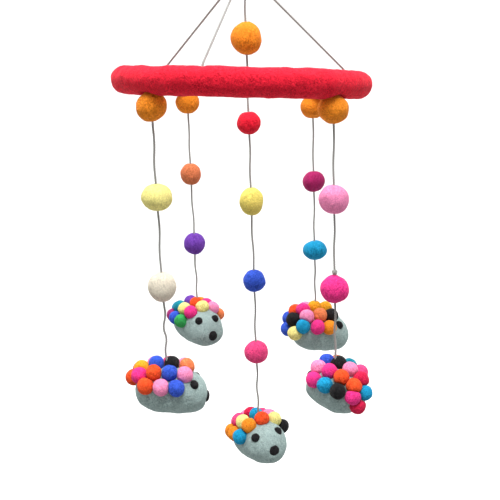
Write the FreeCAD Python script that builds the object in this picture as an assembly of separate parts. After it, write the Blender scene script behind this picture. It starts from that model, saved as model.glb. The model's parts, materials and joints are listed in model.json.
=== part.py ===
import FreeCAD, Part
import math
import os

# Felt crib mobile, in millimetres, +Z up.
# The origin is the point where a hook carries the hanging loop: the underside of the top of the loop.
# A red felt ring hangs from three cords.  Four strands of felt beads hang from the ring and a fifth hangs
# through its open middle.  Each strand ends in a felt hedgehog with a back of small felt balls.

Vec = FreeCAD.Vector
UP = Vec(0, 0, 1)

# ---------------------------------------------------------------- driving dimensions
CORD_RADIUS = 1.1
RUNNING_GAP = 0.08           # radial room round a cord inside a hedgehog that turns on it
KNOT_CLEARANCE = 0.1         # room round each knot that swings in a socket

LOOP_TOP_RADIUS = 8.0        # centre line of the bend that lies over the hook
LOOP_KNOT_Z = -32.0
LOOP_KNOT_RADIUS = 3.4
NECK_RADIUS = 1.7
GATHER_KNOT_Z = -45.0
GATHER_KNOT_RADIUS = 4.5
TIE_KNOT_DROP = 6.8          # from the gathering knot's centre down to the centre strand's own knot
SWING_KNOT_RADIUS = 2.2

RING_CENTRE = Vec(-5.4, 0.8, -148.0)
RING_RADIUS = 112.0          # centre line of the felt tube
RING_TUBE_RADIUS = 12.5
RING_TILT = 3.0              # degrees, the +X side hangs lower
HOOP_RADIUS = 3.0            # cane hoop inside the felt
SUSPENSION_ANGLES = {"right": 20.0, "left": 137.5, "front": -107.0}
STITCH_BEND_RADIUS = 4.0     # where a suspension cord turns down into the felt

BEAD_GAP = 0.8               # between the felt and each top bead
SWING = 10.0                 # degrees that a strand can lean when it swings both ways at once
SWING_ROOM = 0.3             # felt cut back beyond what a top bead sweeps
PROFILE_STEPS = 24           # in a bead's outline

# Each strand: its place on the ring in degrees from +X, how deep its top bead is let into the felt under
# the ring, then its beads from the top down.
# A bead is (name, height of its centre from the ring's centre, width, height).
# The top bead of an outer strand has no height of its own: it sits against the ring.
STRANDS = {
    "front_left": (-135.0, 4.2, [("orange", None, 27.0, 26.0), ("pale_yellow", -98.0, 28.0, 24.5),
                                 ("cream", -180.5, 26.0, 28.0)]),
    "back_left": (123.0, 3.0, [("orange", None, 26.0, 25.0), ("terracotta", -98.5, 23.5, 24.5),
                               ("purple", -178.0, 25.0, 24.5)]),
    "back_right": (47.5, 1.0, [("orange", None, 26.0, 25.0), ("plum", -110.0, 24.5, 24.0),
                               ("cyan", -188.0, 26.5, 22.5)]),
    "front_right": (-45.0, 4.8, [("orange", None, 27.0, 26.0), ("light_pink", -105.0, 27.5, 26.5),
                                 ("hot_pink", -188.0, 26.0, 26.0)]),
    "centre": (None, None, [("orange", 40.5, 29.0, 31.0), ("red", -39.2, 23.0, 23.0), ("yellow", -116.8, 24.0, 28.5),
                            ("blue", -198.8, 23.5, 23.5), ("pink", -276.4, 25.0, 25.0)]),
}
BEAD_KNOT_RADIUS = 2.8       # the knot that shows on top of the front right strand's lowest bead

# Hedgehog felt body, at scale 1: an egg along its own +X (the snout), +Y to its left, +Z up.
BODY_FRONT = 37.0
BODY_REAR = 33.0
BODY_HALF_WIDTH = 24.5
BODY_HALF_HEIGHT = 22.5
BODY_POWER = 2.5             # superellipse power: above 2 is blunter than an ellipse
BODY_CENTRE_DROP = 1.5
SNOUT_DROOP = 5.0
RUMP_RISE = 2.0
BODY_SECTIONS = 13
EYE_RADIUS = 4.6
EYE_SINK = 1.0               # an eye's centre lies this far under the body's surface
NOSE_RADIUS = 6.0
NOSE_INSET = 2.5             # nose centre behind the tip of the snout
NOSE_HEIGHT = -7.0
STOP_KNOT_RADIUS = 2.6
STOP_KNOT_DROP = 2.0         # from a hedgehog's centre down to the knot that it hangs on

# Felt balls on the back, at scale 1: five rows along the body, from its right side over the top to its left.
BALL_RADIUS = 7.5
BALL_STEP = 14.0
BALL_STAND_OFF = 2.5         # ball centre above the body's surface
ROW_ANGLES = (158.0, 125.0, 90.0, 55.0, 22.0)   # round the body from its left side
REAR_RING = 8.2              # the rear balls stand round the pole at this distance

# Each hedgehog is made by hand, so each has its own turn, size, cover and face.
# turn: heading, pitch, roll in degrees; offset: its centre across from its cord in X and Y;
# height: of its centre from the ring's centre; front: its length before the middle;
# rows: for each row, how far its first ball lies forward of the middle and how many balls it has;
# rear: angles of the balls round its rear pole;
# eyes: left and right, each (forward of the middle, angle round the body from its left side).
HEDGEHOGS = {
    "front_left": {"turn": (4, -6, -5), "offset": (1, 1), "height": -280, "scale": 0.98, "front": 37,
                   "rows": ((7, 3), (14, 4), (15.5, 4), (14, 4), (9.5, 3)), "rear": (90,),
                   "eyes": ((25, 38), (23, 141))},
    "back_left": {"turn": (-57, 0, -2), "offset": (-1, -1), "height": -273, "scale": 0.97, "front": 37,
                  "rows": ((5.5, 3), (11.5, 4), (12.5, 3), (11, 4), (6.5, 3)), "rear": (90, 210),
                  "eyes": ((28, 64), (25, 128))},
    "back_right": {"turn": (27, -12, 0), "offset": (3, 3), "height": -282.5, "scale": 1.04, "front": 37,
                   "rows": ((-2, 3), (4, 3), (5.5, 3), (4, 3), (-0.5, 3)), "rear": (90, 210, 330),
                   "eyes": ((14, 34), (14, 146))},
    "front_right": {"turn": (134, 9, 7), "offset": (0.5, 2), "height": -284.5, "scale": 0.95, "front": 29,
                    "rows": ((6, 2), (14, 3), (16.5, 4), (15, 4), (10.5, 4)), "rear": (80, 325),
                    "eyes": ((23, 37), (23, 143))},
    "centre": {"turn": (-66, 13, 0), "offset": (0, 0), "height": -373.5, "scale": 1.0, "front": 37,
               "rows": ((9.5, 3), (13.5, 4), (14.5, 4), (12, 4), (7.5, 3)), "rear": (90, 210),
               "eyes": ((28, 54), (26, 139))},
}

os.makedirs("parts", exist_ok=True)


# ---------------------------------------------------------------- helpers
def export(name, solids):
    """Write one node: a single solid or a group of separate solids."""
    shape = solids[0] if len(solids) == 1 else Part.makeCompound(solids)
    for solid in shape.Solids:
        if not solid.isValid() or solid.Volume <= 0:
            raise ValueError("bad solid in " + name)
    shape.exportStep("parts/" + name + ".step")
    print(name, len(shape.Solids), round(shape.Volume))


def rod(start, end, radius):
    """A straight round run from start to end."""
    return Part.makeCylinder(radius, (end - start).Length, start, end - start)


def ball(centre, radius):
    return Part.makeSphere(radius, centre)


def single(shape):
    """The largest solid of a boolean's result."""
    return max(shape.Solids, key=lambda solid: solid.Volume)


def tube_along(points, bend_radius, radius):
    """A round tube on straight runs joined by tangent arcs."""
    edges = []
    start = points[0]
    for before, corner, after in zip(points, points[1:], points[2:]):
        into = (corner - before).normalize()
        out = (after - corner).normalize()
        turn = into.getAngle(out)
        reach = bend_radius * math.tan(turn / 2)
        arc_start = corner - into * reach
        arc_end = corner + out * reach
        inward = (out - into).normalize()
        middle = corner + inward * (bend_radius / math.cos(turn / 2) - bend_radius)
        edges.append(Part.LineSegment(start, arc_start).toShape())
        edges.append(Part.Arc(arc_start, middle, arc_end).toShape())
        start = arc_end
    edges.append(Part.LineSegment(start, points[-1]).toShape())
    path = Part.Wire(edges)
    circle = Part.Circle(points[0], points[1] - points[0], radius)
    shape = path.makePipeShell([Part.Wire(circle.toShape())], True, True)
    ratio = shape.Volume / (math.pi * radius ** 2 * path.Length)
    print("  tube length", round(path.Length, 1), "bend radius", bend_radius, "volume ratio", round(ratio, 3))
    return single(shape)


def ring_point(angle, above=0.0):
    """A point on the ring's centre line, or above it square to the ring's plane."""
    tilt = math.radians(RING_TILT)
    across = Vec(math.cos(tilt), 0, -math.sin(tilt))
    normal = Vec(math.sin(tilt), 0, math.cos(tilt))
    turn = math.radians(angle)
    in_plane = across * (RING_RADIUS * math.cos(turn)) + Vec(0, RING_RADIUS * math.sin(turn), 0)
    return RING_CENTRE + in_plane + normal * above


def ring_tangent(angle):
    return (ring_point(angle + 0.5) - ring_point(angle - 0.5)).normalize()


def torus_on_ring(radius):
    normal = Vec(math.sin(math.radians(RING_TILT)), 0, math.cos(math.radians(RING_TILT)))
    return Part.makeTorus(RING_RADIUS, radius, RING_CENTRE, normal)


def hoop_wrap(angle):
    """One turn of cord round the hoop, where a cord is tied to it."""
    return Part.makeTorus(HOOP_RADIUS + CORD_RADIUS, CORD_RADIUS, ring_point(angle), ring_tangent(angle))


# ---------------------------------------------------------------- top: loop, knots and neck
loop_knot_centre = Vec(0, 0, LOOP_KNOT_Z)
gather_centre = Vec(0, 0, GATHER_KNOT_Z)


def hanging_loop():
    """A teardrop: a half turn over the hook and two legs that run down to the loop's knot."""
    arc_centre = Vec(0, 0, CORD_RADIUS - LOOP_TOP_RADIUS)
    drop = (arc_centre - loop_knot_centre).Length
    lean = math.asin(LOOP_TOP_RADIUS / drop)
    side = Vec(math.cos(lean), 0, -math.sin(lean)) * LOOP_TOP_RADIUS
    right = arc_centre + side
    left = arc_centre + Vec(-side.x, 0, side.z)
    top = arc_centre + UP * LOOP_TOP_RADIUS
    path = Part.Wire([
        Part.LineSegment(loop_knot_centre, right).toShape(),
        Part.Arc(right, top, left).toShape(),
        Part.LineSegment(left, loop_knot_centre + Vec(-0.001, 0, 0)).toShape(),
    ])
    section = Part.Wire(Part.Circle(loop_knot_centre, right - loop_knot_centre, CORD_RADIUS).toShape())
    tube = path.makePipeShell([section], True, True)
    return single(tube.cut(ball(loop_knot_centre, LOOP_KNOT_RADIUS + KNOT_CLEARANCE)))


def neck():
    """The short gathered neck between the two knots, free of both so that each can swing or turn."""
    shape = rod(gather_centre, loop_knot_centre, NECK_RADIUS)
    shape = shape.cut(ball(loop_knot_centre, LOOP_KNOT_RADIUS + KNOT_CLEARANCE))
    return single(shape.cut(ball(gather_centre, GATHER_KNOT_RADIUS + KNOT_CLEARANCE)))


export("hanging_loop", [hanging_loop()])
export("loop_knot", [ball(loop_knot_centre, LOOP_KNOT_RADIUS)])
export("neck_cord", [neck()])
gather_knot = ball(gather_centre, GATHER_KNOT_RADIUS)
export("gather_knot", [gather_knot])


# ---------------------------------------------------------------- ring, hoop and what is tied to it
hoop = torus_on_ring(HOOP_RADIUS)


def suspension(angle):
    """From the gathering knot straight to the top of the ring, then down through the felt to the hoop."""
    crest = ring_point(angle, RING_TUBE_RADIUS)
    foot = ring_point(angle, HOOP_RADIUS)
    tube = tube_along([gather_centre, crest, foot], STITCH_BEND_RADIUS, CORD_RADIUS)
    tube = single(tube.cut(gather_knot)).fuse(hoop_wrap(angle))
    return single(tube.cut(hoop))


def strand_pivot(angle, sink):
    """The point just above its top bead about which an outer strand swings."""
    return ring_point(angle) - UP * (RING_TUBE_RADIUS + BEAD_GAP / 2 - sink)


def anchor(angle, pivot):
    """The end of a strand's cord inside the ring, from the hoop down to the swinging knot."""
    shape = rod(ring_point(angle), pivot, CORD_RADIUS).fuse(hoop_wrap(angle)).cut(hoop)
    return single(shape.cut(ball(pivot, SWING_KNOT_RADIUS + KNOT_CLEARANCE)))


def swept_room(pivot, width, tall):
    """The hollow in the felt that a top bead can swing in: its side at full lean, turned round the pivot."""
    lean = math.radians(SWING)
    drop = (BEAD_GAP + tall) / 2
    radius = width / 2 + SWING_ROOM
    middle = Vec(drop * math.sin(lean), 0, -drop * math.cos(lean))
    top = middle + UP * radius
    side = middle + Vec(radius, 0, 0)
    between = middle + Vec(radius * math.sqrt(0.5), 0, radius * math.sqrt(0.5))
    edges = [
        Part.LineSegment(Vec(0, 0, top.z), top).toShape(),
        Part.Arc(top, between, side).toShape(),
        Part.LineSegment(side, Vec(0, 0, middle.z)).toShape(),
        Part.LineSegment(Vec(0, 0, middle.z), Vec(0, 0, top.z)).toShape(),
    ]
    room = Part.makeSolid(Part.Face(Part.Wire(edges)).revolve(Vec(0, 0, 0), UP, 360))
    room.translate(pivot)
    return room


felt_ring = torus_on_ring(RING_TUBE_RADIUS).cut(hoop)
for side, angle in SUSPENSION_ANGLES.items():
    cord = suspension(angle)
    export("suspension_cord_" + side, [cord])
    felt_ring = felt_ring.cut(cord)

for strand, (angle, sink, beads) in STRANDS.items():
    if angle is None:
        continue
    pivot = strand_pivot(angle, sink)
    cord_end = anchor(angle, pivot)
    export(strand + "_anchor", [cord_end])
    socket = ball(pivot, SWING_KNOT_RADIUS + KNOT_CLEARANCE)
    _, _, width, tall = beads[0]
    felt_ring = felt_ring.cut(cord_end).cut(socket).cut(swept_room(pivot, width, tall))
export("ring_hoop", [hoop])
export("ring_felt", [single(felt_ring)])


# ---------------------------------------------------------------- hedgehogs
def profile(share):
    """(forward place, size) of the body's outline, from the rear pole at 0 to the front pole at 1."""
    turn = math.pi * (1 - share)
    along = math.copysign(abs(math.cos(turn)) ** (2 / BODY_POWER), math.cos(turn))
    return along, abs(math.sin(turn)) ** (2 / BODY_POWER)


def centre_height(x, front):
    """The middle of the body's section: the snout droops and the rump rises."""
    if x > 0:
        return -BODY_CENTRE_DROP - SNOUT_DROOP * (x / front) ** 2
    return -BODY_CENTRE_DROP + RUMP_RISE * (x / BODY_REAR) ** 2


def body_point(x, size, angle, front, out_x=0.0, out_r=0.0):
    """A point of the body's surface at a section's x and size, moved on along the body and away from its middle."""
    turn = math.radians(angle)
    across = (BODY_HALF_WIDTH * size + out_r) * math.cos(turn)
    height = (BODY_HALF_HEIGHT * size + out_r) * math.sin(turn)
    return Vec(x + out_x, across, centre_height(x, front) + height)


def outline(front):
    """Points of the body's outline in a vertical plane, from front pole to rear pole, with arc lengths."""
    mean = (BODY_HALF_WIDTH + BODY_HALF_HEIGHT) / 2
    points = []
    length = 0.0
    for step in range(361):
        along, size = profile(1 - step / 360)
        x = along * (front if along > 0 else BODY_REAR)
        if points:
            length += math.hypot(x - points[-1][0], (size - points[-1][1]) * mean)
        points.append((x, size, length))
    middle = next(length for x, size, length in points if x <= 0)
    return [(x, size, middle - length) for x, size, length in points]


def place_on_body(line, arc, angle, front, stand_off):
    """The centre of a ball at an arc length forward of the middle, and the way it faces, out of the body."""
    mean = (BODY_HALF_WIDTH + BODY_HALF_HEIGHT) / 2
    index = min(range(1, len(line) - 1), key=lambda i: abs(line[i][2] - arc))
    x, size, _ = line[index]
    run = line[index + 1][0] - line[index - 1][0]
    rise = (line[index + 1][1] - line[index - 1][1]) * mean
    length = math.hypot(run, rise)
    surface = body_point(x, size, angle, front)
    outward = (body_point(x, size, angle, front, rise / length, -run / length) - surface).normalize()
    return surface + outward * stand_off, outward


def ball_places(front, rows, rear_angles):
    line = outline(front)
    places = []
    for angle, (first, count) in zip(ROW_ANGLES, rows):
        for step in range(count):
            arc = first - step * BALL_STEP
            places.append(place_on_body(line, arc, angle, front, BALL_STAND_OFF))
    rear_arc = line[-1][2] + REAR_RING
    for angle in rear_angles:
        places.append(place_on_body(line, rear_arc, angle, front, BALL_STAND_OFF))
    return places


def felt_body(front):
    """The egg, lofted through upright sections, each an ellipse."""
    sections = []
    for step in range(BODY_SECTIONS):
        along, size = profile(0.03 + 0.94 * step / (BODY_SECTIONS - 1))
        x = along * (front if along > 0 else BODY_REAR)
        centre = Vec(x, 0, centre_height(x, front))
        widest = centre + Vec(0, BODY_HALF_WIDTH * size, 0)
        highest = centre + Vec(0, 0, BODY_HALF_HEIGHT * size)
        sections.append(Part.Wire(Part.Ellipse(widest, highest, centre).toShape()))
    return single(Part.makeLoft(sections, True))


def far_side(centre, other):
    """The half space beyond the flat where two pressed balls meet."""
    half = 3 * BALL_RADIUS
    block = Part.makeBox(2 * half, 2 * half, half, Vec(-half, -half, 0))
    block.Placement = FreeCAD.Placement((centre + other) / 2, FreeCAD.Rotation(UP, other - centre))
    return block


def pressed_balls(places, body):
    """Balls flattened where they press on each other, and cut where they sit on the body."""
    balls = []
    for centre, outward in places:
        shape = Part.makeSphere(BALL_RADIUS, centre, outward).cut(body)
        for other, _ in places:
            if 0 < (other - centre).Length < 2 * BALL_RADIUS:
                shape = shape.cut(far_side(centre, other))
        balls.append(single(shape))
    return balls


def face(body, front, eyes):
    """Two eyes and a nose: balls of black felt, let into the body's surface."""
    line = outline(front)
    pieces = []
    for forward, angle in eyes:
        arc = min(line, key=lambda point: abs(point[0] - forward))[2]
        centre, _ = place_on_body(line, arc, angle, front, -EYE_SINK)
        pieces.append(single(ball(centre, EYE_RADIUS).cut(body)))
    nose = ball(Vec(front - NOSE_INSET, 0, NOSE_HEIGHT), NOSE_RADIUS)
    return pieces + [single(nose.cut(body))]


def hedgehog_centre(strand, hang):
    model = HEDGEHOGS[strand]
    return Vec(hang.x + model["offset"][0], hang.y + model["offset"][1], RING_CENTRE.z + model["height"])


def stop_knot_centre(strand, hang):
    return Vec(hang.x, hang.y, hedgehog_centre(strand, hang).z - STOP_KNOT_DROP)


def hedgehog(strand, hang):
    """Felt body, ball back and face, turned and placed, with a bore for the cord and a socket for its knot."""
    model = HEDGEHOGS[strand]
    heading, pitch, roll = model["turn"]
    front = model["front"]
    centre = hedgehog_centre(strand, hang)
    body = felt_body(front)
    groups = {
        "body": [body],
        "back_balls": pressed_balls(ball_places(front, model["rows"], model["rear"]), body),
        "face": face(body, front, model["eyes"]),
    }
    knot = stop_knot_centre(strand, hang)
    bore = rod(knot, Vec(hang.x, hang.y, centre.z + 3 * BODY_HALF_HEIGHT), CORD_RADIUS + RUNNING_GAP)
    hole = bore.fuse(ball(knot, STOP_KNOT_RADIUS + KNOT_CLEARANCE))
    place = FreeCAD.Placement(centre, FreeCAD.Rotation(heading, -pitch, roll)).toMatrix()
    for part_name, solids in groups.items():
        placed = []
        for solid in solids:
            shape = solid.copy()
            shape.scale(model["scale"])
            shape = shape.transformShape(place, True)
            if part_name != "face":
                shape = single(shape.cut(hole))
            placed.append(shape)
        export(strand + "_hedgehog_" + part_name, placed)


# ---------------------------------------------------------------- strands
def bead(hang, centre_z, width, height):
    """An oval felt bead turned round its bore."""
    rim = math.acos(2 * CORD_RADIUS / width)
    turns = [rim * (2 * step / PROFILE_STEPS - 1) for step in range(PROFILE_STEPS + 1)]
    points = [Vec(width / 2 * math.cos(turn), 0, height / 2 * math.sin(turn)) for turn in turns]
    curve = Part.BSplineCurve()
    curve.interpolate(points)
    outline_wire = Part.Wire([curve.toShape(), Part.LineSegment(points[-1], points[0]).toShape()])
    solid = Part.makeSolid(Part.Face(outline_wire).revolve(Vec(0, 0, 0), UP, 360))
    solid.translate(Vec(hang.x, hang.y, centre_z))
    return solid


for strand, (angle, sink, beads) in STRANDS.items():
    if angle is None:
        pivot = gather_centre - UP * TIE_KNOT_DROP
        export("centre_tie_knot", [ball(pivot, SWING_KNOT_RADIUS)])
    else:
        pivot = strand_pivot(angle, sink)
        export(strand + "_swing_knot", [ball(pivot, SWING_KNOT_RADIUS)])
    hang = Vec(pivot.x, pivot.y, 0)
    socket = ball(pivot, SWING_KNOT_RADIUS + KNOT_CLEARANCE)
    stop = stop_knot_centre(strand, hang)
    cord = rod(stop, pivot, CORD_RADIUS).cut(socket).cut(ball(stop, STOP_KNOT_RADIUS))
    knots = [ball(stop, STOP_KNOT_RADIUS)]
    for name, height, width, tall in beads:
        if height is None:
            centre_z = pivot.z - BEAD_GAP / 2 - tall / 2
            shape = single(bead(hang, centre_z, width, tall).cut(socket))
        else:
            centre_z = RING_CENTRE.z + height
            shape = bead(hang, centre_z, width, tall)
        if name == "hot_pink":
            knot_centre = Vec(hang.x, hang.y, centre_z + tall / 2 + BEAD_KNOT_RADIUS)
            bead_knot = ball(knot_centre, BEAD_KNOT_RADIUS).cut(rod(stop, pivot, CORD_RADIUS)).cut(shape)
            knots.append(single(bead_knot))
        export(strand + "_bead_" + name, [shape])
    export(strand + "_strand_cord", [single(cord)])
    export(strand + "_strand_knots", knots)
    hedgehog(strand, hang)
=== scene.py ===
"""Looks of the felt crib mobile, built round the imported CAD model. All lengths are in metres.

Wool felt is modelled as lumpy meshes with a fibre material, cords as three twisted plies that follow
their routes, and knots as wound cord.
"""
from functools import cache
import json
import math

import bmesh
import bpy
import numpy as np
from mathutils import Matrix, Vector
from mathutils.bvhtree import BVHTree


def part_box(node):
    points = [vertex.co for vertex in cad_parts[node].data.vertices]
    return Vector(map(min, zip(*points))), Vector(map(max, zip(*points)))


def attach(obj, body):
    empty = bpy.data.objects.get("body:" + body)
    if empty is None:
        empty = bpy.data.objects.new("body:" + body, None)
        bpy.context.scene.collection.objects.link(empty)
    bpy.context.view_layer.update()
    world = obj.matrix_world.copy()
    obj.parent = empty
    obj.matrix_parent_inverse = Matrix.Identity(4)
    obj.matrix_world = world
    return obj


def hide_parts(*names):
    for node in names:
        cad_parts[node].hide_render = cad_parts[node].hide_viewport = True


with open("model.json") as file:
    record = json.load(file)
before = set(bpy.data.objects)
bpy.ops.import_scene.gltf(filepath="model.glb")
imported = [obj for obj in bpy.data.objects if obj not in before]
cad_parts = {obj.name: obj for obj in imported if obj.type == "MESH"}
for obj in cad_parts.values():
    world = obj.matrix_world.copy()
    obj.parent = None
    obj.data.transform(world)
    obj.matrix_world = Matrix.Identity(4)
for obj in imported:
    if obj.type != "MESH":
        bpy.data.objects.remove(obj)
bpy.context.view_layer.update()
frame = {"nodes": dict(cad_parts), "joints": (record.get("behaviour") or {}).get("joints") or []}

MM = 0.001

# ------------------------------------------------------------------ sizes shared with the CAD model
CORD_RADIUS = 1.1 * MM
NECK_RADIUS = 1.7 * MM
RING_TUBE_RADIUS = 12.5 * MM
HOOP_RADIUS = 3.0 * MM
SUSPENSION_ANGLES = {"right": 20.0, "left": 137.5, "front": -107.0}
OUTER_STRANDS = {"front_left": -135.0, "back_left": 123.0, "back_right": 47.5, "front_right": -45.0}
STOP_KNOT_RADIUS = 2.6 * MM
BEAD_KNOT_RADIUS = 2.8 * MM
STOP_KNOT_DROP = 2.0 * MM     # of the stop knot, below the point its hedgehog turns about
BEADS = {
    "front_left": ("orange", "pale_yellow", "cream"),
    "back_left": ("orange", "terracotta", "purple"),
    "back_right": ("orange", "plum", "cyan"),
    "front_right": ("orange", "light_pink", "hot_pink"),
    "centre": ("orange", "red", "yellow", "blue", "pink"),
}
# heading, pitch and roll of each hedgehog in degrees, as in the CAD model
TURNS = {
    "front_left": (4, -6, -5),
    "back_left": (-57, 0, -2),
    "back_right": (27, -12, 0),
    "front_right": (134, 9, 7),
    "centre": (-66, 13, 0),
}
JOINTS = {joint["name"]: joint for joint in frame["joints"]}

# ------------------------------------------------------------------ routes of the cords
# The points of the hanging loop's bend: how far each lies to the right, and its height, in millimetres.
LOOP_BEND = ((8.0, -10.0), (8.2, -4.0), (3.6, 0.9), (-3.6, 0.9), (-8.2, -4.0), (-8.0, -10.0))
# The route of each strand's cord between its two knots: straight through each bead, a little kinked between
# them. Each point is a height, and how far it strays to the right and back, in millimetres.
BENDS = {
    "front_left": (
        (-180, 0, 0), (-198, 0.9, 0.3), (-216, -0.9, 0), (-234, 0, 0),
        (-258, 0, 0), (-276, 1.0, -0.3), (-295, -0.9, 0.4), (-314, 0, 0),
        (-343, 0, 0), (-356, 1.6, 0.5), (-368, -1.8, -0.4), (-379, 1.5, 0.6), (-390, -1.2, 0), (-402, 0.4, 0),
    ),
    "back_left": (
        (-183, 0, 0), (-201, 0.6, 0), (-218, -0.7, 0.3), (-234, 0, 0),
        (-259, 0, 0), (-279, -0.8, 0), (-297, 0.8, 0.2), (-314, 0, 0),
        (-339, 0, 0), (-353, -0.9, 0.3), (-367, 1.0, 0), (-381, -0.8, 0), (-393, 0.2, 0),
    ),
    "back_right": (
        (-187, 0, 0), (-206, 0.6, 0), (-227, -0.6, 0), (-246, 0, 0),
        (-270, 0, 0), (-289, 0.7, 0.2), (-307, -0.7, 0), (-325, 0, 0),
        (-348, 0, 0), (-361, 0.6, 0), (-375, -0.7, 0.3), (-389, 0.5, 0), (-401, 0, 0),
    ),
    "front_right": (
        (-184, 0, 0), (-202, 0.5, 0), (-221, -0.7, 0.2), (-240, 0, 0),
        (-267, 0, 0), (-282, 0.6, 0), (-299, -0.6, 0), (-317, 0, 0),
        (-350, 0, 0), (-363, 0.8, 0.2), (-377, -0.8, 0), (-391, 0.6, 0), (-405, 0, 0),
    ),
    "centre": (
        (-68, 0.5, 0), (-81, -0.4, 0), (-92, 0, 0),
        (-123, 0, 0), (-141, 0.6, 0), (-159, -0.6, 0), (-176, 0, 0),
        (-199, 0, 0), (-216, 0.7, 0), (-234, -0.7, 0.2), (-251, 0, 0),
        (-279, 0, 0), (-298, -0.8, 0), (-317, 0.8, 0), (-335, 0, 0),
        (-359, 0, 0), (-377, 1.0, 0), (-395, -0.9, 0.2), (-412, 0, 0),
        (-437, 0, 0), (-450, 0.9, 0), (-464, -1.1, 0), (-478, 0.9, 0.2), (-490, -0.3, 0),
    ),
}

# ------------------------------------------------------------------ colours
# Felt balls of each back: colours from the front backwards, one line for each row. Rows lie along the
# body at these angles from its left side: right edge, right, top, left, left edge. The last line is
# the balls round the rear end.
ROW_ANGLES = (158, 125, 90, 55, 22)
REAR_REACH = 13.5 * MM        # the rear balls lie within this distance of the body's long axis
BACKS = {
    "front_left": (
        "blue light_pink orange_red",
        "light_pink blue orange_red hot_pink",
        "salmon black blue yellow_orange",
        "light_pink pink light_pink crimson",
        "cyan orange_red light_pink",
        "orange_red",
    ),
    "back_left": (
        "green blue magenta",
        "hot_pink pale_yellow teal cyan",
        "pale_yellow orange_red purple",
        "light_pink hot_pink orange pale_yellow",
        "salmon crimson green",
        "blue magenta",
    ),
    "back_right": (
        "orange hot_pink cyan",
        "black salmon light_pink",
        "yellow_orange yellow_orange hot_pink",
        "cyan light_pink orange_red",
        "purple pale_yellow blue",
        "black pale_yellow blue",
    ),
    "front_right": (
        "orange pink",
        "salmon teal pink",
        "blue black light_pink crimson",
        "light_pink hot_pink orange_red orange_red",
        "hot_pink cyan black hot_pink",
        "cyan crimson",
    ),
    "centre": (
        "cyan orange orange",
        "orange pale_yellow pink hot_pink",
        "orange_red cyan crimson light_pink",
        "pale_yellow light_pink pink orange",
        "black red cyan",
        "yellow_orange blue",
    ),
}

# Wool colours as seen in white light, red, green and blue from 0 to 255.
WOOL = {
    "red": (232, 22, 50),
    "orange": (254, 142, 32),
    "pale_yellow": (240, 228, 140),
    "cream": (218, 209, 190),
    "terracotta": (216, 122, 78),
    "purple": (112, 62, 172),
    "plum": (172, 34, 100),
    "cyan": (20, 152, 200),
    "light_pink": (252, 141, 185),
    "hot_pink": (250, 52, 138),
    "yellow": (234, 216, 108),
    "blue": (52, 88, 205),
    "pink": (248, 72, 132),
    "grey_green": (152, 172, 169),
    "black": (26, 25, 27),
    "orange_red": (252, 82, 34),
    "yellow_orange": (252, 165, 36),
    "salmon": (236, 128, 78),
    "green": (52, 165, 84),
    "teal": (16, 132, 152),
    "magenta": (166, 52, 118),
    "crimson": (214, 26, 74),
}
# white cotton cord given a grey colour: painted shade over the whole cord
COTTON_PAINTED_GREY = (176, 175, 171)
CANE = (196, 158, 104)

# ------------------------------------------------------------------ shape of the felt and the knots
# Layers of unevenness, each (height, size of its bumps). Those of balls and beads are shares of a radius.
RING_SWELL = ((0.16 * MM, 30 * MM), (0.05 * MM, 14 * MM))
RING_DRIFT = ((0.25 * MM, 60 * MM),)
RING_LUMPS = ((0.22 * MM, 9 * MM),)
BODY_LUMPS = ((0.45 * MM, 17 * MM), (0.25 * MM, 8 * MM))
BEAD_LUMPS = ((0.020, 1.1), (0.008, 0.45))
BALL_LUMPS = ((0.022, 1.0), (0.010, 0.4))
WAVE_SPREAD = (0.7, 1.5)      # sizes of the waves in one layer, as shares of its size
CREASE_HEIGHT = 0.10 * MM     # matted wool: creases between tufts
CREASE_SIZE = 1.7 * MM
DENT_HEIGHT = 0.10 * MM       # and small soft dents
DENT_SIZE = 4.5 * MM
BALL_RELIEF = 0.8             # a small ball's relief, as a share of other wool's
ENTRY_DEPTH = 1.1 * MM        # the ring's felt is drawn in where a cord enters it
ENTRY_WIDTH = 3.2 * MM
BEAD_ROOM = 0.35 * MM         # between a top bead and the hollow it is let into
RIM_SOFTNESS = 0.35 * MM      # how round the edge of that hollow is
SWING_STEPS = 4               # places of a top bead, each way, that the hollow is cut to
PUCKER_DEPTH = 0.9 * MM       # a bead is drawn in where its cord goes in and out
PUCKER_WIDTH = 2.2 * MM
KNOT_BED_HEIGHT = 1.6 * MM    # the hot pink bead rises round the knot on it
KNOT_BED_WIDTH = 4.5 * MM
BALL_SWELL = 1.07             # soft balls bulge between the neighbours that they are pressed against
BALL_GAP = 0.05 * MM          # half the gap between two pressed balls
PRESS_SHARPNESS = 14.0        # how sharply a ball turns from round to pressed
NOSE_SINK = 0.42              # a nose's centre lies this share of its radius under the felt
NOSE_DEPTH = 0.6              # what stands out of the felt is flattened to this share
PLY_SHARE = 0.464             # a ply's radius in a rope of three, as a share of the rope's
PLY_PITCH = 6.4               # length of one turn of the plies, in rope radii
KNOT_CORD_SHARE = 0.9         # radius of a cord drawn tight in a knot, as a share of its own
KNOT_LEAN = 58                # degrees that a knot's windings lean over

# ------------------------------------------------------------------ looks of the materials
# Noise in a material: (scale, detail, distortion).
WOOL_FIBRES = (1150, 5, 2.2)
WOOL_TUFTS = (480, 3, 1.2)
WOOL_BLOTCHES = (95, 2, 0.0)
COTTON_FIBRES = (2600, 4, 1.5)
COTTON_BLOTCHES = (160, 2, 0.0)
CANE_GRAIN = (500, 4, 1.0)
WOOL_PAINTED_SHADE = (0.50, 0.38)      # painted shade between the fibres: least, and what a pale colour adds
WOOL_SHEEN = 0.30
COTTON_SHEEN = 0.05

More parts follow.
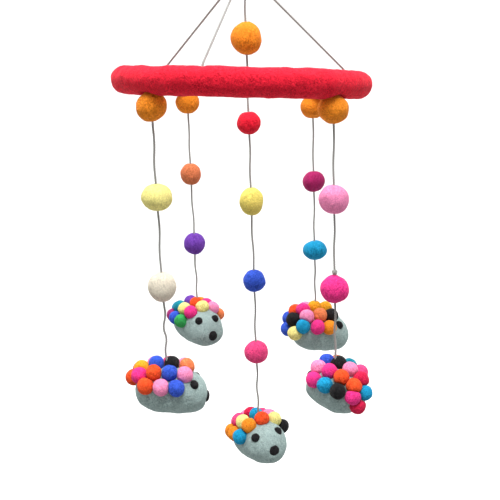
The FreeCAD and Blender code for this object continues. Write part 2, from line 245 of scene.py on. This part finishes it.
# ------------------------------------------------------------------ camera, room and light
CAMERA_PLACE = (-0.0030, -0.7312, -0.1485)
CAMERA_PITCH = 12.8          # degrees below the horizon
CAMERA_ROLL = -1.9           # degrees
CAMERA_LENS = 53.1           # millimetres
FLOOR_HEIGHT = -1.05
ROOM_RADIUS = 3.2
ROOM_HEIGHT = 3.6
ROOM_SIDES = 96
COVE_RADIUS = 1.4
COVE_STEPS = 12
ROOM_SHADE_FADE = (0.0, 0.75)   # painted shade: the room's floor and wall are darker on the camera's side, which also dims the light thrown up under the mobile
ROOM_NEAR_PAINTED_SHADE = (0.36, 0.36, 0.36, 1)
ROOM_FAR = (0.94, 0.94, 0.94, 1)
SKY_STRENGTH = 1.6
LAMP_TARGET = (0, 0, -0.3)
LAMPS = (                       # name, place, width and power in watts
    ("key", (0.15, -0.75, 1.35), 0.7, 34),
    ("top", (-0.2, 0.2, 1.3), 1.0, 24),
)


def linear(colour):
    """Scene linear red, green, blue and alpha from a colour of 0 to 255."""
    share = [c / 255 for c in colour]
    return [c / 12.92 if c <= 0.04045 else ((c + 0.055) / 1.055) ** 2.4 for c in share] + [1.0]


def add_camera():
    """The camera, near the front of the mobile and looking slightly down at it, as in the photograph."""
    camera = bpy.data.objects.new("camera", bpy.data.cameras.new("camera"))
    bpy.context.scene.collection.objects.link(camera)
    turn = Matrix.Rotation(math.radians(90 - CAMERA_PITCH), 4, "X")
    turn = turn @ Matrix.Rotation(math.radians(CAMERA_ROLL), 4, "Z")
    camera.matrix_world = Matrix.Translation(CAMERA_PLACE) @ turn
    camera.data.lens = CAMERA_LENS
    camera.data.clip_start = 0.01
    bpy.context.scene.camera = camera


def add_room():
    """A round pale studio: floor, cove and wall in one smooth sheet, painted darker on the camera's side as
    shade, with lamps and open sky above.
    """
    profile = [(0.0, 0.0), (ROOM_RADIUS - COVE_RADIUS, 0.0)]
    for step in range(1, COVE_STEPS + 1):
        angle = math.radians(90 * step / COVE_STEPS)
        profile.append((ROOM_RADIUS - COVE_RADIUS + COVE_RADIUS * math.sin(angle),
                        COVE_RADIUS - COVE_RADIUS * math.cos(angle)))
    profile.append((ROOM_RADIUS, ROOM_HEIGHT))
    turns = [2 * math.pi * k / ROOM_SIDES for k in range(ROOM_SIDES)]
    points = [(r * math.cos(turn), r * math.sin(turn), FLOOR_HEIGHT + z)
              for r, z in profile for turn in turns]
    room = mesh_object("studio", points, wrapped_faces(len(profile), ROOM_SIDES))
    material, shader, place, nodes, links = new_material("studio_white_with_painted_shade")
    apart = nodes.new("ShaderNodeSeparateXYZ")
    links.new(place, apart.inputs["Vector"])
    # painted shade: the floor and wall darken towards the camera's side
    shade = mixed(nodes, links, apart.outputs["Y"], *ROOM_SHADE_FADE, ROOM_NEAR_PAINTED_SHADE, ROOM_FAR)
    links.new(shade, shader.inputs["Base Color"])
    shader.inputs["Roughness"].default_value = 0.9
    room.data.materials.append(material)


def add_lamp(name, place, size, power):
    """A round lamp that shines on the mobile's middle."""
    lamp = bpy.data.objects.new(name, bpy.data.lights.new(name, "AREA"))
    bpy.context.scene.collection.objects.link(lamp)
    lamp.data.shape = "DISK"
    lamp.data.size = size
    lamp.data.energy = power
    lamp.location = place
    lamp.rotation_euler = (Vector(LAMP_TARGET) - Vector(place)).to_track_quat("-Z", "Y").to_euler()


def add_light():
    """Open white sky and two round lamps, drawn in plain sRGB."""
    world = bpy.data.worlds.new("sky")
    bpy.context.scene.world = world
    world.use_nodes = True
    sky = world.node_tree.nodes["Background"]
    sky.inputs["Color"].default_value = (1, 1, 1, 1)
    sky.inputs["Strength"].default_value = SKY_STRENGTH
    for lamp in LAMPS:
        add_lamp(*lamp)
    bpy.context.scene.view_settings.view_transform = "Standard"


# ------------------------------------------------------------------ meshes
@cache
def box_of(node):
    """The lowest and highest corners of a CAD node, measured once."""
    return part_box(node)


def mesh_object(name, points, faces):
    """A smooth-shaded mesh, in the row frame."""
    mesh = bpy.data.meshes.new(name)
    mesh.from_pydata([tuple(p) for p in points], [], [tuple(f) for f in faces])
    mesh.shade_smooth()
    piece = bpy.data.objects.new(name, mesh)
    bpy.context.scene.collection.objects.link(piece)
    return piece


def wrapped_faces(rows, sides):
    """Faces between rows of points that each go round once."""
    return [(row * sides + k, row * sides + (k + 1) % sides, (row + 1) * sides + (k + 1) % sides,
             (row + 1) * sides + k) for row in range(rows - 1) for k in range(sides)]


def joined(parts):
    """One set of points and faces from several."""
    points, faces, first = [], [], 0
    for part_points, part_faces in parts:
        points.append(part_points)
        faces.extend([tuple(i + first for i in face) for face in part_faces])
        first += len(part_points)
    return np.concatenate(points), faces


@cache
def unit_ball(cuts):
    """Directions spread evenly over a ball, and the triangles between them."""
    shape = bmesh.new()
    bmesh.ops.create_icosphere(shape, subdivisions=cuts, radius=1.0)
    directions = np.array([v.co for v in shape.verts])
    faces = [tuple(v.index for v in face.verts) for face in shape.faces]
    shape.free()
    return directions, faces


def waves(points, size, seed, count=28):
    """A smooth random field with a spread of about 1, whose bumps are about size across."""
    draw = np.random.default_rng(seed)
    directions = draw.normal(size=(count, 3))
    directions /= np.linalg.norm(directions, axis=1)[:, None]
    numbers = directions * (math.pi / (size * draw.uniform(*WAVE_SPREAD, count)))[:, None]
    return np.cos(points @ numbers.T + draw.uniform(0, 2 * math.pi, count)).sum(1) * math.sqrt(2 / count)


def layered_waves(points, layers, seed):
    """Waves of several sizes on one another."""
    return sum(height * waves(points, size, seed + number) for number, (height, size) in enumerate(layers))


def hump(away, height, width):
    """A soft round rise at the middle of things, by how far away each point is."""
    return height * np.exp(-(away / width) ** 2)


def wool_relief(points, seed):
    """Height of matted wool: fine creases between fibre tufts, over small soft dents."""
    creases = 1 - np.abs(waves(points, CREASE_SIZE, seed + 1, 36))
    return CREASE_HEIGHT * np.maximum(creases, -1) + DENT_HEIGHT * waves(points, DENT_SIZE, seed + 2)


def sphere_fit(points):
    """Centre and radius of the ball whose surface these points lie on, and how far off they are."""
    middle = points.mean(0)
    local = points - middle
    rows = np.c_[2 * local, np.ones(len(local))]
    answer = np.linalg.lstsq(rows, (local ** 2).sum(1), rcond=None)[0]
    radius = math.sqrt(max(answer[3] + answer[:3] @ answer[:3], 0))
    error = np.abs(np.linalg.norm(local - answer[:3], axis=1) - radius).max()
    return middle + answer[:3], radius, error


def patches(node):
    """The separate smooth patches of a CAD node's mesh, as arrays of their points."""
    mesh = frame["nodes"][node].data
    places = np.empty(3 * len(mesh.vertices))
    mesh.vertices.foreach_get("co", places)
    ends = np.empty(2 * len(mesh.edges), int)
    mesh.edges.foreach_get("vertices", ends)
    a, b = ends.reshape(-1, 2).T
    label = np.arange(len(mesh.vertices))
    while (label[a] != label[b]).any():
        lowest = np.minimum(label[a], label[b])
        np.minimum.at(label, a, lowest)
        np.minimum.at(label, b, lowest)
        label = label[label]
    places = places.reshape(-1, 3)
    order = np.argsort(label, kind="stable")
    cuts = np.flatnonzero(np.diff(label[order])) + 1
    return [places[members] for members in np.split(order, cuts)]


def balls_in(node, smallest=3 * MM, largest=9 * MM, exact=0.06 * MM, fewest_points=12):
    """(centre, radius) of each ball in a CAD node, found from the patches that are part of a sphere."""
    balls = []
    for points in patches(node):
        if len(points) < fewest_points:
            continue
        centre, radius, error = sphere_fit(points)
        fits = smallest < radius < largest and error < exact
        if fits and all(np.linalg.norm(centre - other) > MM for other, _ in balls):
            balls.append((centre, radius))
    return balls


# ------------------------------------------------------------------ materials
def new_material(name):
    """A material, its shader, the place on the object, and its nodes and links to add to."""
    material = bpy.data.materials.new(name)
    material.use_nodes = True
    nodes = material.node_tree.nodes
    place = nodes.new("ShaderNodeTexCoord").outputs["Object"]
    return material, nodes["Principled BSDF"], place, nodes, material.node_tree.links


def noise_of(nodes, links, place, scale, detail, distortion):
    """A field of noise over the object."""
    noise = nodes.new("ShaderNodeTexNoise")
    noise.inputs["Scale"].default_value = scale
    noise.inputs["Detail"].default_value = detail
    noise.inputs["Distortion"].default_value = distortion
    links.new(place, noise.inputs["Vector"])
    return noise.outputs["Fac"]


def mixed(nodes, links, share, low, high, a, b):
    """A colour from a to b as share goes from low to high. a and b are colours or sockets."""
    ramp = nodes.new("ShaderNodeMapRange")
    ramp.inputs["From Min"].default_value = low
    ramp.inputs["From Max"].default_value = high
    links.new(share, ramp.inputs["Value"])
    mix = nodes.new("ShaderNodeMix")
    mix.data_type = "RGBA"
    links.new(ramp.outputs["Result"], mix.inputs["Factor"])
    for socket, colour in ((mix.inputs[6], a), (mix.inputs[7], b)):
        if isinstance(colour, bpy.types.NodeSocket):
            links.new(colour, socket)
        else:
            socket.default_value = colour
    return mix.outputs[2]


def bumped(nodes, links, height, strength, distance, over=None):
    """A surface direction roughened by a height, over one roughened before."""
    bump = nodes.new("ShaderNodeBump")
    bump.inputs["Strength"].default_value = strength
    bump.inputs["Distance"].default_value = distance
    links.new(height, bump.inputs["Height"])
    if over is not None:
        links.new(over, bump.inputs["Normal"])
    return bump.outputs["Normal"]


def tinted(colour, times, white=0.0):
    """A linear colour made darker or lighter, and moved that share of the way to white."""
    shades = [min(1.0, c * times) for c in colour[:3]]
    return [c + (1 - c) * white for c in shades] + [1.0]


def felt_material(name, colour):
    """Matted wool: blotches, tufts and tangled fibres with painted shade between them, rough, with a soft
    sheen at its edges.
    """
    material, shader, place, nodes, links = new_material("felt_" + name)
    base = linear(colour)
    fibres = noise_of(nodes, links, place, *WOOL_FIBRES)
    tufts = noise_of(nodes, links, place, *WOOL_TUFTS)
    blotches = noise_of(nodes, links, place, *WOOL_BLOTCHES)
    least, added = WOOL_PAINTED_SHADE
    # painted shade: a darker tint of the wool between fibres and tufts, where shade falls
    painted_fibre_shade = tinted(base, least + added * min(base[:3]))
    fine = mixed(nodes, links, fibres, 0.40, 0.62, painted_fibre_shade, tinted(base, 1.18, 0.010))
    coarse = mixed(nodes, links, tufts, 0.40, 0.60, painted_fibre_shade, tinted(base, 1.14, 0.010))
    links.new(mixed(nodes, links, blotches, 0.30, 0.70, fine, coarse), shader.inputs["Base Color"])
    rough = nodes.new("ShaderNodeMapRange")
    rough.inputs["To Min"].default_value = 0.80
    rough.inputs["To Max"].default_value = 1.0
    links.new(fibres, rough.inputs["Value"])
    links.new(rough.outputs["Result"], shader.inputs["Roughness"])
    tuft_bump = bumped(nodes, links, tufts, 0.8, 1.2 * MM)
    links.new(bumped(nodes, links, fibres, 0.6, 0.5 * MM, tuft_bump), shader.inputs["Normal"])
    shader.inputs["Specular IOR Level"].default_value = 0.08
    shader.inputs["Sheen Weight"].default_value = WOOL_SHEEN
    shader.inputs["Sheen Roughness"].default_value = 0.45
    shader.inputs["Sheen Tint"].default_value = tinted(base, 1.15, 0.15)
    return material


def cotton_material():
    """Soft twisted cotton, painted grey as its shade, slightly mottled, with fine fibres and painted shade
    between them.
    """
    material, shader, place, nodes, links = new_material("cotton_cord")
    base = linear(COTTON_PAINTED_GREY)
    fibres = noise_of(nodes, links, place, *COTTON_FIBRES)
    blotches = noise_of(nodes, links, place, *COTTON_BLOTCHES)
    # painted shade: a darker tint between the fibres, where the yarn's creases are shaded
    yarn = mixed(nodes, links, fibres, 0.38, 0.66, tinted(base, 0.55), tinted(base, 1.1))
    yarn = mixed(nodes, links, blotches, 0.30, 1.2, yarn, tinted(base, 0.70))
    links.new(yarn, shader.inputs["Base Color"])
    links.new(bumped(nodes, links, fibres, 0.5, 0.15 * MM), shader.inputs["Normal"])
    shader.inputs["Roughness"].default_value = 0.92
    shader.inputs["Specular IOR Level"].default_value = 0.1
    shader.inputs["Sheen Weight"].default_value = COTTON_SHEEN
    return material


def cane_material():
    """Pale mottled cane."""
    material, shader, place, nodes, links = new_material("cane")
    base = linear(CANE)
    grain = noise_of(nodes, links, place, *CANE_GRAIN)
    links.new(mixed(nodes, links, grain, 0.3, 0.7, tinted(base, 0.6), base), shader.inputs["Base Color"])
    shader.inputs["Roughness"].default_value = 0.6
    return material


# ------------------------------------------------------------------ cords and knots
def steady_frames(line):
    """For each point of a line: its direction, and two cross directions that don't spin along it."""
    along = np.gradient(line, axis=0)
    along /= np.linalg.norm(along, axis=1)[:, None]
    side = np.cross(along[0], (0.0, 1.0, 0.0) if abs(along[0][1]) < 0.9 else (1.0, 0.0, 0.0))
    sides = []
    for direction in along:
        side = side - direction * (side @ direction)
        side = side / np.linalg.norm(side)
        sides.append(side)
    sides = np.array(sides)
    return along, sides, np.cross(along, sides)


def tube(line, radius, sides=8):
    """Points and faces of a closed round tube along a line."""
    _, right, up = steady_frames(line)
    turns = [2 * math.pi * k / sides for k in range(sides)]
    points = [line + radius * (math.cos(turn) * right + math.sin(turn) * up) for turn in turns]
    points = np.stack(points, axis=1).reshape(-1, 3)
    last_row = (len(line) - 1) * sides
    faces = wrapped_faces(len(line), sides)
    faces.append(tuple(range(sides - 1, -1, -1)))
    faces.append(tuple(range(last_row, last_row + sides)))
    return points, faces


def rope_mesh(line, radius):
    """Three plies twisted round each other along a line."""
    _, right, up = steady_frames(line)
    run = np.concatenate([[0], np.cumsum(np.linalg.norm(np.diff(line, axis=0), axis=1))])
    plies = []
    for ply in range(3):
        turn = 2 * math.pi * (run / (PLY_PITCH * radius) + ply / 3)
        offset = (1 - PLY_SHARE) * radius
        centre = line + offset * (np.cos(turn)[:, None] * right + np.sin(turn)[:, None] * up)
        plies.append(tube(centre, PLY_SHARE * radius))
    return joined(plies)


def points_of_route(name, points, step=0.45 * MM):
    """Points read from the smooth NURBS curve that has these control points."""
    curve = bpy.data.curves.new(name + "_route", "CURVE")
    curve.dimensions = "3D"
    spline = curve.splines.new("NURBS")
    spline.points.add(len(points) - 1)
    for control, place in zip(spline.points, points):
        control.co = (*place, 1.0)
    spline.order_u = 3
    spline.use_endpoint_u = True
    length = sum((Vector(b) - Vector(a)).length for a, b in zip(points, points[1:]))
    spline.resolution_u = max(8, math.ceil(length / step / (len(points) - 2)))
    holder = bpy.data.objects.new(name + "_route", curve)
    mesh = bpy.data.meshes.new_from_object(holder)
    line = np.array([v.co for v in mesh.vertices], float)
    bpy.data.objects.remove(holder)
    bpy.data.meshes.remove(mesh)
    return line


def add_cord(name, body, points, nodes, material):
    """A free cord of twisted cotton along its route. Both its ends go into the object."""
    line = points_of_route(name, points)
    cord = mesh_object(name, *rope_mesh(line, CORD_RADIUS))
    cord.data.materials.append(material)
    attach(cord, body)
    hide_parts(*nodes)


def wound_knot(centre, radius, cord_radius, seed):
    """A knot drawn up tight: cord wound over itself as a small ball."""
    loops = 4 if radius > 2.4 * cord_radius else 3
    points_per_loop = 60
    turn = np.linspace(0, 2 * math.pi * loops, points_per_loop * loops)
    tilt = turn / loops + seed
    flat, steep = math.cos(math.radians(KNOT_LEAN)), math.sin(math.radians(KNOT_LEAN))
    side = np.stack([np.cos(tilt), np.sin(tilt), 0 * tilt], axis=1)
    rise = np.stack([-np.sin(tilt) * flat, np.cos(tilt) * flat, steep + 0 * tilt], axis=1)
    drawn_radius = KNOT_CORD_SHARE * cord_radius
    reach = radius - drawn_radius
    line = centre + reach * (np.cos(turn)[:, None] * side + np.sin(turn)[:, None] * rise)
    directions, faces = unit_ball(3)
    core = centre + directions * (radius - 0.8 * cord_radius), faces
    return joined([rope_mesh(line, drawn_radius), core])


def add_knot(name, body, knots, node, material):
    """One piece of wound cord for all the knots of a CAD node. Each knot is (centre, radius)."""
    wound = [wound_knot(np.array(centre), radius, CORD_RADIUS, k) for k, (centre, radius) in enumerate(knots)]
    piece = mesh_object(name, *joined(wound))
    piece.data.materials.append(material)
    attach(piece, body)
    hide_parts(node)


def middle_of(node):
    """The middle of a CAD node's box."""
    low, high = box_of(node)
    return (low + high) / 2


def radius_of(node):
    """Half the width of a round CAD node."""
    low, high = box_of(node)
    return (high.x - low.x) / 2


def ring_point(angle, above=0.0):
    """A point on the ring's centre line, or above it square to the ring's plane."""
    low, high = box_of("ring_felt")
    ring_radius = (high.y - low.y) / 2 - RING_TUBE_RADIUS
    tilt = math.asin(((high.z - low.z) / 2 - RING_TUBE_RADIUS) / ring_radius)
    turn = math.radians(angle)
    across = Vector((math.cos(tilt), 0, -math.sin(tilt)))
    normal = Vector((math.sin(tilt), 0, math.cos(tilt)))
    in_plane = across * (ring_radius * math.cos(turn)) + Vector((0, ring_radius * math.sin(turn), 0))
    return (low + high) / 2 + in_plane + normal * above


def hanging_points(strand, start, stop):
    """The points that a strand's cord follows, from its top knot to the stop knot inside its hedgehog."""
    bends = [Vector((start.x + right * MM, start.y + back * MM, height * MM))
             for height, right, back in BENDS[strand]]
    return [start, *bends, stop]


def add_cords(cotton):
    """Every cord and knot: the three that carry the ring, the loop, the neck and the five strands."""
    gather = middle_of("gather_knot")
    loop_knot = middle_of("loop_knot")
    for side, angle in SUSPENSION_ANGLES.items():
        crest = ring_point(angle, RING_TUBE_RADIUS)
        foot = ring_point(angle, HOOP_RADIUS)
        # the run down to the hoop is short, so a point near the crest keeps the bend as tight as that
        near = crest + (gather - crest).normalized() * (crest - foot).length
        add_cord("suspension_rope_" + side, "ring", [gather, near, crest, foot],
                 ["suspension_cord_" + side], cotton)

    bend = [Vector((right * MM, 0, height * MM)) for right, height in LOOP_BEND]
    add_cord("loop_rope", "loop", [loop_knot, *bend, loop_knot], ["hanging_loop"], cotton)

    neck_line = points_of_route("neck", [gather, (gather + loop_knot) / 2, loop_knot])
    neck = mesh_object("neck_rope", *rope_mesh(neck_line, NECK_RADIUS))
    neck.data.materials.append(cotton)
    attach(neck, "neck")
    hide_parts("neck_cord")

    for strand in BEADS:
        start = middle_of(strand + "_swing_knot" if strand in OUTER_STRANDS else "centre_tie_knot")
        stop = Vector(JOINTS[strand + "_hedgehog_turn"]["pos_m"]) - Vector((0, 0, STOP_KNOT_DROP))
        add_cord(strand + "_strand_rope", strand + "_strand", hanging_points(strand, start, stop),
                 [strand + "_strand_cord"], cotton)
        knots = [(stop, STOP_KNOT_RADIUS)]
        if strand == "front_right":
            low, high = box_of("front_right_bead_hot_pink")
            knots.append((Vector((stop.x, stop.y, high.z + BEAD_KNOT_RADIUS)), BEAD_KNOT_RADIUS))
        add_knot(strand + "_knots", strand + "_strand", knots, strand + "_strand_knots", cotton)

    carriers = {"gather_knot": "ring", "loop_knot": "loop_knot", "centre_tie_knot": "centre_tie"}
    for strand in OUTER_STRANDS:
        carriers[strand + "_swing_knot"] = strand + "_swing"
    for node, body in carriers.items():
        add_knot(node + "_wound", body, [(middle_of(node), radius_of(node))], node, cotton)


# ------------------------------------------------------------------ felt
def finish_felt(name, body, points, faces, wool, nodes, felts):
    """A piece of felt in its colour, on its body, in place of its CAD nodes."""
    piece = mesh_object(name, points, faces)
    piece.data.materials.append(felts[wool])
    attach(piece, body)
    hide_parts(*nodes)


def press_in(points, strand):
    """Lift the ring's underside clear of a strand's top bead, wherever the strand's swing takes it."""
    low, high = box_of(strand + "_bead_orange")
    bead = (low + high) / 2
    radius = (high.x - low.x) / 2 + BEAD_ROOM
    pivot = Vector(JOINTS[strand + "_swing_out"]["pos_m"])
    out, along = (JOINTS[strand + way] for way in ("_swing_out", "_swing_along"))
    near = np.flatnonzero(np.linalg.norm(points - np.array(pivot), axis=1) < 1.6 * radius)
    roof = np.full(len(near), -np.inf)
    for first in np.linspace(*out["range_deg"], SWING_STEPS):
        for second in np.linspace(*along["range_deg"], SWING_STEPS):
            turn = Matrix.Rotation(math.radians(first), 3, out["axis"])
            turn = turn @ Matrix.Rotation(math.radians(second), 3, along["axis"])
            centre = np.array(pivot + turn @ (bead - pivot))
            across = np.linalg.norm(points[near, :2] - centre[:2], axis=1)
            covered = across < radius
            height = centre[2] + np.sqrt(np.maximum(radius ** 2 - across ** 2, 0))
            roof[covered] = np.maximum(roof, height)[covered]
    gap = (roof - points[near, 2]) / RIM_SOFTNESS
    lift = RIM_SOFTNESS * np.logaddexp(0, np.clip(gap, -40, 60))
    under = points[near, 2] < ring_point(OUTER_STRANDS[strand]).z
    points[near[under], 2] += lift[under]


def add_ring(felts):
    """A tube of red felt round the hoop, a little uneven in thickness, drawn in where cords enter it."""
    rows, sides = ((960, 96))
    centre = np.array(middle_of("ring_felt"))
    normal = np.array(ring_point(0, 1.0) - ring_point(0, 0.0))
    line = np.array([ring_point(360 * k / rows) for k in range(rows)])
    out = line - centre
    out /= np.linalg.norm(out, axis=1)[:, None]
    radius = RING_TUBE_RADIUS + layered_waves(line, RING_SWELL, 5)
    drift = layered_waves(line, RING_DRIFT, 7)
    turn = 2 * math.pi * np.arange(sides) / sides
    outward = np.cos(turn)[None, :, None] * out[:, None, :] + np.sin(turn)[None, :, None] * normal
    points = (line + drift[:, None] * normal)[:, None, :] + radius[:, None, None] * outward
    points = points.reshape(-1, 3)
    push = layered_waves(points, RING_LUMPS, 8) + wool_relief(points, 9)
    for angle in SUSPENSION_ANGLES.values():
        entry = np.array(ring_point(angle, RING_TUBE_RADIUS))
        push -= hump(np.linalg.norm(points - entry, axis=1), ENTRY_DEPTH, ENTRY_WIDTH)
    points = points + push[:, None] * outward.reshape(-1, 3)
    for strand in OUTER_STRANDS:
        press_in(points, strand)
    faces = []
    for row in range(rows):
        here, ahead = row * sides, (row + 1) % rows * sides
        for k in range(sides):
            after = (k + 1) % sides
            faces.append((here + k, ahead + k, ahead + after, here + after))
    finish_felt("ring_wool", "ring", points, faces, "red", ["ring_felt"], felts)


def add_bead(strand, wool, seed, felts):
    """An oval of felt on its cord, lumpy and puckered where the cord goes in and out."""
    node = strand + "_bead_" + wool
    low, high = box_of(node)
    half = np.array(high - low) / 2
    directions, faces = unit_ball(5)
    points = directions * half * (1 + layered_waves(directions, BEAD_LUMPS, seed))[:, None]
    away = np.linalg.norm(points[:, :2], axis=1)
    push = wool_relief(points, seed + 2) - hump(away, PUCKER_DEPTH, PUCKER_WIDTH)
    if wool == "hot_pink":
        push += hump(away, KNOT_BED_HEIGHT, KNOT_BED_WIDTH) * (directions[:, 2] > 0)
    points = points + push[:, None] * directions
    points = points + np.array(low + high) / 2
    finish_felt(strand + "_" + wool + "_bead", strand + "_strand", points, faces, wool, [node], felts)


def local_axes(strand):
    """Forward, left and up of a hedgehog as the rows of a matrix."""
    heading, pitch, roll = (math.radians(a) for a in TURNS[strand])
    turn = Matrix.Rotation(heading, 3, "Z") @ Matrix.Rotation(-pitch, 3, "Y") @ Matrix.Rotation(roll, 3, "X")
    return np.array(turn.transposed())


def coloured_balls(strand, balls):
    """The balls of a back by colour. A ball's angle tells its row, and how far back it is, its place."""
    axes = local_axes(strand)
    centre = np.array(middle_of(strand + "_hedgehog_body"))
    rows = [[] for _ in BACKS[strand]]
    for place, radius in balls:
        ahead, left, up = axes @ (place - centre)
        angle = math.degrees(math.atan2(up, left))
        if math.hypot(left, up) < REAR_REACH:
            rows[-1].append((angle % 360, place, radius))
            continue
        row = min(range(len(ROW_ANGLES)), key=lambda r: abs(angle - ROW_ANGLES[r]))
        rows[row].append((-ahead, place, radius))
    groups = {}
    for row, colours in zip(rows, BACKS[strand]):
        colours = colours.split()
        for k, (_, place, radius) in enumerate(sorted(row, key=lambda item: item[0])):
            groups.setdefault(colours[k % len(colours)], []).append((place, radius))
    return groups


def pressed_ball(place, radius, others, seed):
    """A small felt ball, rounded off where it presses on its neighbours."""
    directions, faces = unit_ball(4)
    reach = radius * (BALL_SWELL + layered_waves(directions, BALL_LUMPS, seed))
    for other in others:
        apart = other - place
        distance = np.linalg.norm(apart)
        if 0 < distance < 2.5 * radius:
            facing = np.maximum(directions @ (apart / distance), 0.05)
            limit = (distance / 2 - BALL_GAP) / facing
            reach = (reach ** -PRESS_SHARPNESS + limit ** -PRESS_SHARPNESS) ** (-1 / PRESS_SHARPNESS)
    points = place + directions * reach[:, None]
    return points + (wool_relief(points, seed + 2) * BALL_RELIEF)[:, None] * directions, faces


def add_hedgehog(strand, seed, felts):
    """A hedgehog: its body, the balls of its back grouped by colour, and its eyes and nose."""
    body = strand + "_hedgehog"
    add_body(strand, seed, felts)
    balls = balls_in(body + "_back_balls")
    places = [place for place, _ in balls]
    for colour, group in sorted(coloured_balls(strand, balls).items()):
        parts = []
        for place, radius in group:
            seed += 7
            parts.append(pressed_ball(place, radius, places, seed))
        finish_felt(f"{strand}_{colour}_balls", body, *joined(parts), colour, [body + "_back_balls"], felts)
    parts = []
    forward = local_axes(strand)[0]
    features = balls_in(body + "_face")
    nose_radius = max(radius for _, radius in features)
    for place, radius in features:
        seed += 7
        points, faces = pressed_ball(place, radius / BALL_SWELL, [], seed)
        if radius == nose_radius:
            outside = np.maximum((points - place) @ forward - NOSE_SINK * radius, 0)
            points = points - (1 - NOSE_DEPTH) * outside[:, None] * forward
        parts.append((points, faces))
    finish_felt(strand + "_eyes_and_nose", body, *joined(parts), "black", [body + "_face"], felts)


def add_body(strand, seed, felts):
    """The grey felt body: the CAD egg's outer shape, softly lumpy and matted."""
    node = strand + "_hedgehog_body"
    shell = bmesh.new()
    shell.from_mesh(frame["nodes"][node].data)
    hull = bmesh.ops.convex_hull(shell, input=shell.verts)
    skin = bmesh.new()
    copies = {}
    for face in (f for f in hull["geom"] if isinstance(f, bmesh.types.BMFace)):
        for vertex in face.verts:
            if vertex not in copies:
                copies[vertex] = skin.verts.new(vertex.co)
        skin.faces.new([copies[vertex] for vertex in face.verts])
    tree = BVHTree.FromBMesh(skin)
    centre = middle_of(node)
    directions, faces = unit_ball(6)
    far = 200 * MM
    ways = [Vector(direction) for direction in directions]
    points = np.array([tree.ray_cast(centre + way * far, -way)[0] for way in ways])
    push = layered_waves(points, BODY_LUMPS, seed) + wool_relief(points, seed + 2)
    points = points + push[:, None] * directions
    skin.free()
    shell.free()
    finish_felt(strand + "_body_wool", strand + "_hedgehog", points, faces, "grey_green", [node], felts)


# ------------------------------------------------------------------ the object
add_camera()
add_room()
add_light()

cotton = cotton_material()
felts = {name: felt_material(name, colour) for name, colour in WOOL.items()}
add_cords(cotton)
add_ring(felts)
for number, (strand, beads) in enumerate(BEADS.items()):
    for place_on_cord, wool in enumerate(beads):
        add_bead(strand, wool, 100 + 40 * number + 7 * place_on_cord, felts)
    add_hedgehog(strand, 1000 + 500 * number, felts)

# What is left of the CAD model lies inside the felt: the hoop and the cord ends tied round it.
cane = cane_material()
for name, node in frame["nodes"].items():
    if not node.hide_render:
        node.data.materials.clear()
        node.data.materials.append(cane if name == "ring_hoop" else cotton)
